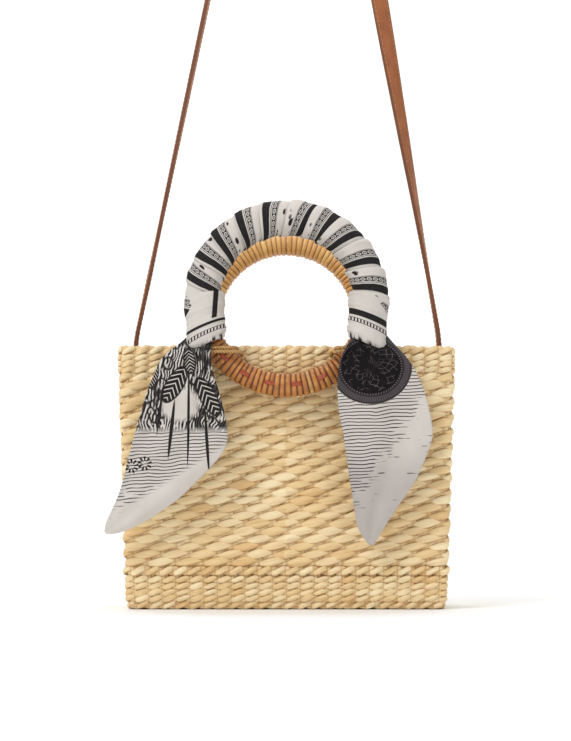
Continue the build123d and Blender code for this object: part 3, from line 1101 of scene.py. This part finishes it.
def wrap_print(choice):
    """Border print of the wound strip: a broad dark band, a thin line, a row of loops, and a few leaves.
    The print is turned about on the half of the ring where mirror is 1."""
    finish = cloth_base("scarf wrap cloth")
    across, along, _ = finish.split(finish.lay())
    mirror = finish.value("mirror")
    drift = finish.value("drift")
    waver = finish.product(finish.math("SUBTRACT", finish.noise(finish.objects(), 60.0, 2.0), 0.5), 0.06)
    shown = finish.total(finish.product(across, 2.0), drift, waver)
    other = finish.math("SUBTRACT", 1.0, shown)
    place = finish.add("ShaderNodeMix", mirror, data_type="FLOAT")
    finish.feed(place.inputs[2], shown)
    finish.feed(place.inputs[3], other)
    place = place.outputs[0]
    band = finish.between(place, 0.08, 0.36, 0.012)
    line = finish.between(place, 0.405, 0.43, 0.006)
    loops = scallop_row(finish, along, place, 0.55, 0.15, 0.0042)
    lace = finish.product(finish.between(place, 0.46, 0.645, 0.006), finish.math("SUBTRACT", 1.0, loops))
    rule = finish.between(place, 0.66, 0.68, 0.006)
    leaf = finish.cells(finish.vector(finish.product(place, 4.0), finish.product(along, 130.0)), 1.0)
    leaf = finish.product(finish.ramp(leaf, 0.36, 0.30), finish.between(place, 0.74, 0.98, 0.02))
    spot = finish.noise(finish.objects(), 24.0, 1.0)
    leaf = finish.product(leaf, finish.ramp(spot, 0.48, 0.53))
    return cloth_done(finish, finish.most(band, line, lace, rule, leaf), choice)


def tie_print(choice, name, band_low, band_high, loops_at, start, bar=None):
    """Print of a tie: a plain field, a dark band, and a row of small upright bars below it.
    start is where the dark streaks of the throat begin, and bar the place of an upright stroke."""
    finish = cloth_base(name)
    seam = finish.value("seam")
    x = finish.split(finish.objects())[0]
    band = finish.between(seam, band_low, band_high, 0.25)
    bars = finish.ramp(finish.math("SINE", finish.product(x, 2400.0)), -0.1, 0.25)
    row = finish.product(bars, finish.between(seam, loops_at, loops_at + 2.6, 0.2))
    rule = finish.most(finish.between(seam, loops_at - 0.5, loops_at, 0.12),
                       finish.between(seam, loops_at + 2.6, loops_at + 3.1, 0.12))
    streak = finish.noise(finish.vector(finish.product(x, 420.0), finish.product(seam, 0.06)), 1.0, 3.0)
    low = finish.product(finish.ramp(streak, 0.46, 0.56), finish.ramp(seam, start, start + 3.0))
    marks = [band, row, rule, low]
    if bar is not None:
        leaning = finish.total(x, finish.product(seam, 0.00006))
        marks.append(finish.product(finish.between(leaning, bar, bar + 0.0042, 0.0002),
                                    finish.between(seam, -5.0, 25.5, 0.3)))
    return cloth_done(finish, finish.most(*marks), choice)


def hatching(nodes, x, y, count, reach):
    """Thin wavering lines across, broken by a stretched noise, where reach is above nothing."""
    flat = nodes.vector(nodes.product(x, 2.2), nodes.product(y, 2.0))
    wave = nodes.product(nodes.noise(flat, 1.6, 2.0), 15.0)
    sway = nodes.math("SINE", nodes.total(nodes.product(y, ROUND * count), nodes.product(x, -16.0), wave))
    ink = nodes.ramp(sway, 0.48, 0.82)
    breaks = nodes.noise(nodes.vector(nodes.product(x, 7.0), nodes.product(y, 60.0)), 1.0, 1.0)
    return nodes.product(ink, nodes.ramp(nodes.total(breaks, reach), 0.50, 0.54))


def left_print(choice):
    """Left end: thick foliage strokes with tall seed heads on stalks, over lines like still water."""
    finish = cloth_base("scarf left end cloth")
    x = finish.value("print_x")
    y = finish.value("print_y")
    lay = finish.vector(x, y)
    bent = finish.noise(finish.vector(finish.product(x, 5.0), finish.product(y, 5.0)), 1.0, 2.0)
    strokes = finish.math("SINE", finish.total(finish.product(x, 250.0), finish.product(bent, 34.0),
                                               finish.product(y, -40.0)))
    broken = finish.noise(finish.vector(finish.product(x, 34.0), finish.product(y, 15.0)), 1.0, 2.0)
    strokes = finish.product(finish.ramp(strokes, -0.35, 0.0), finish.ramp(broken, 0.34, 0.42))
    leaves = finish.cells(finish.vector(finish.product(x, 15.0), finish.product(y, 10.0)), 1.0, "SMOOTH_F1")
    leaves = finish.between(leaves, 0.36, 0.50, 0.03)
    foliage = finish.product(finish.most(strokes, finish.product(leaves, 0.95)), finish.ramp(y, -0.76, -0.70))
    open_patch = finish.group(shared("oval"), lay, -0.20, -0.52, 0.16, 0.14, 0.2)[0]
    foliage = finish.product(foliage, finish.ramp(open_patch, 0.8, 1.1))
    water = hatching(finish, x, y, 37.0, finish.product(finish.ramp(y, -1.36, -0.95), 0.42))
    water = finish.product(water, finish.ramp(y, -0.70, -0.76))
    slant = finish.total(y, finish.product(x, -0.62))
    water = finish.product(water, finish.ramp(slant, -0.98, -0.93))
    marks = [foliage, water]
    pale = []
    heads = ((-0.24, -0.36, 0.075, 0.17, -0.55), (0.03, -0.46, 0.07, 0.18, 0.50),
             (-0.12, -0.17, 0.05, 0.11, 0.15), (-0.42, -0.30, 0.045, 0.10, -0.3))
    for cx, cy, wide, tall, turn in heads:
        far, right, up = finish.group(shared("oval"), lay, cx, cy, wide, tall, turn)
        scales = finish.math("SINE", finish.total(finish.product(up, 24.0),
                                                  finish.product(finish.math("ABSOLUTE", right), 10.0)))
        marks.append(finish.ramp(far, 1.04, 0.98))
        pale.append(finish.product(finish.ramp(scales, 0.62, 0.85), finish.ramp(far, 0.92, 0.80)))
    stalks = ((-0.27, -0.72, 0.014, 0.24, -0.12), (0.02, -0.80, 0.013, 0.28, 0.06),
              (-0.13, -0.62, 0.011, 0.40, -0.02), (-0.36, -0.55, 0.010, 0.22, -0.14))
    for cx, cy, wide, tall, turn in stalks:
        far = finish.group(shared("oval"), lay, cx, cy, wide, tall, turn)[0]
        marks.append(finish.ramp(far, 1.1, 0.9))
    for cx, cy in ((-0.60, -1.02), (-0.49, -1.00)):
        far, right, up = finish.group(shared("oval"), lay, cx, cy, 0.062, 0.062, 0.0)
        turn = finish.math("ARCTAN2", up, right)
        petal = finish.ramp(finish.math("SINE", finish.product(turn, 9.0)), -0.2, 0.2)
        marks.append(finish.product(petal, finish.between(far, 0.35, 0.95, 0.06)))
    ink = finish.most(*marks)
    for mark in pale:
        ink = finish.math("SUBTRACT", ink, mark, clamp=True)
    return cloth_done(finish, ink, choice)


def right_print(choice):
    """Right end: a dark disc with leaf veins and a ticked grey rim, over broken wavering lines and painted
    grey shade that deepens towards the tip."""
    finish = cloth_base("scarf right end cloth")
    x = finish.value("print_x")
    y = finish.value("print_y")
    lay = finish.vector(x, y)
    far, right, up = finish.group(shared("oval"), lay, 0.016, -0.215, 0.33, 0.30, 0.0)
    turn = finish.math("ARCTAN2", up, right)
    ring = finish.ramp(far, 1.02, 0.99)
    ticks = finish.ramp(finish.math("SINE", finish.product(turn, 96.0)), 0.1, 0.5)
    rim = finish.between(far, 0.80, 1.0, 0.012)
    dark_edge = finish.most(finish.between(far, 0.97, 1.02, 0.008), finish.between(far, 0.80, 0.83, 0.008))
    pearls = finish.product(finish.between(far, 0.745, 0.785, 0.01),
                            finish.ramp(finish.math("SINE", finish.product(turn, 70.0)), -0.3, 0.2))
    veins = None
    for bend, count in ((0.9, 9.0), (-1.1, 7.0)):
        swirl = finish.total(finish.product(turn, count), finish.product(far, 14.0 * bend),
                             finish.product(finish.noise(lay, 9.0, 2.0), 5.0))
        lines = finish.between(finish.math("SINE", swirl), -0.10, 0.10, 0.03)
        veins = lines if veins is None else finish.most(veins, lines)
    patchy = finish.ramp(finish.noise(lay, 12.0, 1.0), 0.44, 0.50)
    veins = finish.product(veins, patchy, finish.ramp(far, 0.72, 0.66))
    left_of = finish.total(finish.product(x, -1.35), finish.product(y, 0.88))
    reach = finish.ramp(left_of, -1.12, -0.78, -0.16, 0.34)
    water = hatching(finish, x, y, 36.0, reach)
    water = finish.product(water, finish.ramp(y, -1.42, -1.30), finish.ramp(far, 0.99, 1.03))
    disc = finish.math("SUBTRACT", ring, finish.most(finish.product(rim, 0.55), finish.product(veins, 0.8),
                                                    finish.product(pearls, 0.85)), clamp=True)
    ink = finish.most(disc, finish.product(dark_edge, 0.9), finish.product(ticks, rim, 0.75), water)
    # painted shade: grey deepening towards the tip of the right end
    painted_tip_shade = finish.ramp(y, -0.80, -1.15, 0.0, 0.26)
    return cloth_done(finish, ink, choice, finish.most(finish.product(ring, 0.9), painted_tip_shade))


class BASKETBAG_OT_scarf(Operator):
    """Winds the scarf round the front ring, ties it at both sides and lets its two ends hang"""

    bl_idname = "basketbag.scarf"
    bl_label = "Scarf"

    def execute(self, context):
        choice = context.scene.basket_bag_scarf
        rng = np.random.default_rng(77)
        shape = Shape()
        points, mirror, across, along, drift = wrap_sheet(choice.turns, rng)
        shell = sheet_grid(points, CLOTH_THICK)
        shape.tube(shell, across=sheet_across(across), along=np.append(along, along[-1]),
                   mirror=out_and_back(mirror), drift=out_and_back(drift), print_x=0.0, print_y=0.0)
        for side, edges, kind in ((-1, LEFT_TAIL, 1), (1, RIGHT_TAIL, 2)):
            points, print_x, print_y = tail_sheet(side, edges)
            shell = sheet_grid(points, CLOTH_THICK)
            shape.tube(shell, kind=kind, mirror=0.0, drift=0.0, print_x=out_and_back(print_x),
                       print_y=out_and_back(print_y))
        scarf = shape.build("scarf_cloth", wrap_print(choice), left_print(choice), right_print(choice))
        left = tie_print(choice, "scarf left tie cloth", 27.2, 29.6, 33.6, 40.0, -0.0600)
        right = tie_print(choice, "scarf right tie cloth", 18.5, 24.0, 26.6, 39.5)
        for side, name, material in ((-1, "scarf_left_tie", left), (1, "scarf_right_tie", right)):
            points, seam = tie_shape(side)
            shape = Shape()
            shape.tube(points, seam=seam)
            tie = shape.build(name, material)
            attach(tie, "front_handle")
        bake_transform(scarf)
        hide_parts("scarf")
        return {"FINISHED"}


# ---- shoulder strap
STRAP_ROUTE = (
    (-130.33, 166.0), (-133.9, 216.0), (-123.8, 265.0), (-45.2, 656.9), (-27.5, 744.9), (-7.0, 759.0),
    (27.0, 758.6), (47.5, 744.9), (62.1, 656.9), (127.2, 265.2), (134.9, 216.0), (130.33, 166.0),
)
# turn of the strap's face from its lie against the wall, in degrees, by the way along it
STRAP_TURN = (
    (0, 54, 85, 117, 190, 281, 430, 619, 957, 1048, 1089, 1131, 1184, 1239),
    (180, 182, 187, 190, 184, 180, 178, 165, 49, 23, 13, 5, 0, 0),
)
STRAP_PROFILE = (
    (-0.93, 0.95), (-0.80, 1.0), (-0.75, 0.86), (-0.70, 1.0), (0.0, 1.04), (0.70, 1.0), (0.75, 0.86),
    (0.80, 1.0), (0.93, 0.95), (1.0, 0.66), (1.0, 0.14), (0.965, 0.0), (1.0, -0.14), (1.0, -0.66),
)


def route_points(route):
    """Points along a NURBS spline of order 3 through the route's plane, read from a curve with no bevel."""
    curve = bpy.data.curves.new("strap route", "CURVE")
    curve.dimensions = "3D"
    curve.resolution_u = 64
    spline = curve.splines.new("NURBS")
    spline.points.add(len(route) - 1)
    flat = np.array([(x / METRE, 0.0, z / METRE, 1.0) for x, z in route], dtype=np.float32)
    spline.points.foreach_set("co", flat.ravel())
    spline.order_u = 3
    spline.use_endpoint_u = True
    holder = bpy.data.objects.new("strap route", curve)
    mesh = bpy.data.meshes.new_from_object(holder)
    points = np.empty(len(mesh.vertices) * 3)
    mesh.vertices.foreach_get("co", points)
    bpy.data.objects.remove(holder)
    bpy.data.curves.remove(curve)
    bpy.data.meshes.remove(mesh)
    return points.reshape(-1, 3) * METRE


def strap_frame(path, at):
    """Point, widthwise and facing directions of the strap at distances along its path.
    Its width lies along the bag's depth, turned about the path by STRAP_TURN."""
    way = np.concatenate([[0.0], np.cumsum(np.linalg.norm(np.diff(path, axis=0), axis=1))])
    point = np.stack([np.interp(at, way, path[:, k]) for k in range(3)], axis=1)
    slope = unit(np.gradient(path, way, axis=0))
    forward = unit(np.stack([np.interp(at, way, slope[:, k]) for k in range(3)], axis=1))
    turn = np.radians(np.interp(at * STRAP_TURN[0][-1] / way[-1], *STRAP_TURN))[:, None]
    wide = np.broadcast_to(np.array([0.0, 1.0, 0.0]), forward.shape)
    face = np.cross(forward, wide)
    return point, wide * np.cos(turn) + face * np.sin(turn), face * np.cos(turn) - wide * np.sin(turn)


def leather_finish(choice):
    """Smooth saddle leather: fine pebble grain, soft mottling, and darker rubbed edges."""
    finish = Finish("strap leather", Roughness=0.48)
    mottle = finish.noise(finish.objects(), 60.0, 3.0, 0.6)
    body = finish.mix(finish.ramp(mottle, 0.3, 0.75), tuple(choice.leather), paint(142, 80, 42))
    grain = finish.cells(finish.objects(), 1400.0)
    edge = finish.value("edge")
    body = finish.mix(finish.product(finish.ramp(edge, 0.82, 1.0), 0.75), body, tuple(choice.leather_deep))
    body = finish.mix(finish.product(finish.ramp(grain, 0.5, 0.9), 0.25), body, tuple(choice.leather_deep))
    rough = finish.ramp(mottle, 0.3, 0.7, 0.42, 0.58)
    return finish.set(Base_Color=body, Roughness=rough, Normal=finish.bump(grain, 0.3, 0.0003))


def brass_finish(choice):
    """Brushed brass with duller patches."""
    finish = Finish("rivet brass", Metallic=1.0, Roughness=0.28)
    wear = finish.noise(finish.objects(), 700.0, 3.0, 0.6)
    body = finish.mix(finish.ramp(wear, 0.35, 0.75), tuple(choice.brass), paint(150, 108, 56))
    return finish.set(Base_Color=body, Roughness=finish.ramp(wear, 0.3, 0.7, 0.22, 0.42),
                      Normal=finish.bump(wear, 0.1, 0.0002))


class BASKETBAG_OT_strap(Operator):
    """Sews the shoulder strap along its route, with its stitches, and finishes its rivets"""

    bl_idname = "basketbag.strap"
    bl_label = "Shoulder Strap"

    def execute(self, context):
        choice = context.scene.basket_bag_strap
        path = route_points(STRAP_ROUTE)
        length = float(np.linalg.norm(np.diff(path, axis=0), axis=1).sum())
        at = np.linspace(0, length, 520)
        point, wide, face = strap_frame(path, at)
        half = np.array([choice.width, choice.thickness]) * METRE / 2
        upper = np.array(STRAP_PROFILE)
        profile = np.concatenate([upper, -upper]) * half
        section = wide[:, None] * profile[None, :, :1] + face[:, None] * profile[None, :, 1:]
        points = point[:, None] + section
        edge = np.abs(profile[:, 0]) / half[0]
        shape = Shape()
        shape.tube(points, edge=edge[None])
        strap = shape.build("shoulder_strap_leather", leather_finish(choice))
        thread = cord_finish("strap thread", tuple(choice.thread), paint(150, 104, 66))
        pitch = choice.stitch * METRE
        end_room = 6.0
        middles = np.arange(end_room, length - end_room, pitch)
        stitches = Shape()
        steps = np.array([-0.36, -0.22, 0.22, 0.36]) * pitch
        thick = np.array([0.16, 0.42, 0.42, 0.16])
        for middle in middles:
            point, wide, face = strap_frame(path, middle + steps)
            for across in (-0.75, 0.75):
                for front in (-1, 1):
                    seat = point + wide * across * half[0] + face * front * half[1] * 0.98
                    stitches.tube(swept(seat, wide * thick[:, None], face * thick[:, None] * 0.8, 4))
        sewing = stitches.build("shoulder_strap_stitches", thread)
        for piece in (strap, sewing):
            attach(piece, "basket")
        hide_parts("shoulder_strap")
        brass = brass_finish(context.scene.basket_bag_handles)
        dress_nodes(brass, "left_strap_rivets", "right_strap_rivets", "left_strap_washers",
                    "right_strap_washers")
        return {"FINISHED"}


# ---- stage: lights as name, place, what they face, size and energy
LIGHTS = (
    ("key", (-1.2, -1.5, 2.1), (0.0, 0.0, 0.12), 1.1, 35.0),
    ("fill", (1.8, -1.6, 0.9), (0.0, 0.0, 0.12), 1.6, 7.0),
    ("backdrop light", (0.0, 1.2, 3.6), (0.0, 3.2, 0.6), 3.0, 85.0),
)
SKY_LIGHT = 0.53
FLOOR_REACH = 40.0
LENS = 80.1
SENSOR = 36.0
CAMERA_PLACE = (-0.0009, -1.426, 0.070)
CAMERA_TILT = math.radians(5.35)


class BASKETBAG_OT_stage(Operator):
    """Lays the pale floor and backdrop, hangs the soft lights and sets the camera"""

    bl_idname = "basketbag.stage"
    bl_label = "Studio Stage"

    def execute(self, context):
        scene = context.scene
        bend = np.linspace(0, QUARTER, 17)
        y = np.concatenate([[-FLOOR_REACH, 0.0], 2.5 + 1.5 * np.sin(bend), [4.0]])
        z = np.concatenate([[0.0, 0.0], 1.5 - 1.5 * np.cos(bend), [6.0]])
        x = np.linspace(-FLOOR_REACH, FLOOR_REACH, 3)
        points = np.stack(np.broadcast_arrays(x[None], y[:, None], z[:, None]), axis=-1)
        row, column = grid_corners(len(y), 3, False, False)
        mesh = bpy.data.meshes.new("backdrop")
        mesh.from_pydata(points.reshape(-1, 3).tolist(), [], (row * 3 + column)[:, ::-1].tolist())
        mesh.polygons.foreach_set("use_smooth", np.ones(len(mesh.polygons), dtype=bool))
        floor = bpy.data.objects.new("backdrop", mesh)
        scene.collection.objects.link(floor)
        paper = Finish("backdrop paper", Roughness=0.9)
        speck = paper.noise(paper.objects(), 40.0, 2.0)
        shade = paper.mix(speck, (0.93, 0.93, 0.925, 1.0), (0.95, 0.95, 0.945, 1.0))
        mesh.materials.append(paper.set(Base_Color=shade))
        world = bpy.data.worlds.new("studio")
        world.use_nodes = True
        sky = Nodes(world.node_tree)
        seen = sky.add("ShaderNodeLightPath").outputs["Is Camera Ray"]
        sky.feed(world.node_tree.nodes["Background"].inputs[1], sky.ramp(seen, 0.0, 1.0, SKY_LIGHT, 1.0))
        world.node_tree.nodes["Background"].inputs[0].default_value = (1.0, 1.0, 1.0, 1.0)
        scene.world = world
        for name, place, aim, size, energy in LIGHTS:
            light = bpy.data.lights.new(name, "AREA")
            light.size = size
            light.energy = energy
            lamp = bpy.data.objects.new(name, light)
            lamp.location = place
            lamp.rotation_mode = "QUATERNION"
            lamp.rotation_quaternion = (Vector(aim) - Vector(place)).to_track_quat("-Z", "Y")
            scene.collection.objects.link(lamp)
        scene.view_settings.view_transform = "Standard"
        data = bpy.data.cameras.new("camera")
        data.lens = LENS
        data.sensor_width = SENSOR
        camera = bpy.data.objects.new("camera", data)
        camera.location = CAMERA_PLACE
        camera.rotation_euler = (QUARTER + CAMERA_TILT, 0.0, 0.0)
        scene.collection.objects.link(camera)
        scene.camera = camera
        return {"FINISHED"}


STEPS = (
    BASKETBAG_OT_stage,
    BASKETBAG_OT_strap,
    BASKETBAG_OT_wall,
    BASKETBAG_OT_borders,
    BASKETBAG_OT_stakes,
    BASKETBAG_OT_rings,
    BASKETBAG_OT_scarf,
)
SETTINGS = (
    ("basket_bag_weave", BasketBagWeave),
    ("basket_bag_handles", BasketBagHandles),
    ("basket_bag_scarf", BasketBagScarf),
    ("basket_bag_strap", BasketBagStrap),
)


class BASKETBAG_PT_panel(Panel):
    """Buttons that make the bag's pieces, over their sizes and colours"""

    bl_idname = "BASKETBAG_PT_panel"
    bl_label = "Basket Box Bag"
    bl_space_type = "VIEW_3D"
    bl_region_type = "UI"
    bl_category = "Basket Bag"

    def draw(self, context):
        for step in STEPS:
            self.layout.operator(step.bl_idname)
        for name, group in SETTINGS:
            box = self.layout.box()
            choice = getattr(context.scene, name)
            for key in group.__annotations__:
                box.prop(choice, key)


def register():
    """Adds the settings, the steps and the panel to Blender."""
    for name, group in SETTINGS:
        bpy.utils.register_class(group)
        setattr(bpy.types.Scene, name, PointerProperty(type=group))
    for step in (*STEPS, BASKETBAG_PT_panel):
        bpy.utils.register_class(step)


def unregister():
    """Takes the panel, the steps and the settings away again."""
    for step in (BASKETBAG_PT_panel, *reversed(STEPS)):
        bpy.utils.unregister_class(step)
    for name, group in reversed(SETTINGS):
        delattr(bpy.types.Scene, name)
        bpy.utils.unregister_class(group)


def main():
    """Makes every piece in turn."""
    register()
    for step in STEPS:
        family, name = step.bl_idname.split(".")
        getattr(getattr(bpy.ops, family), name)()


if __name__ == "__main__":
    main()
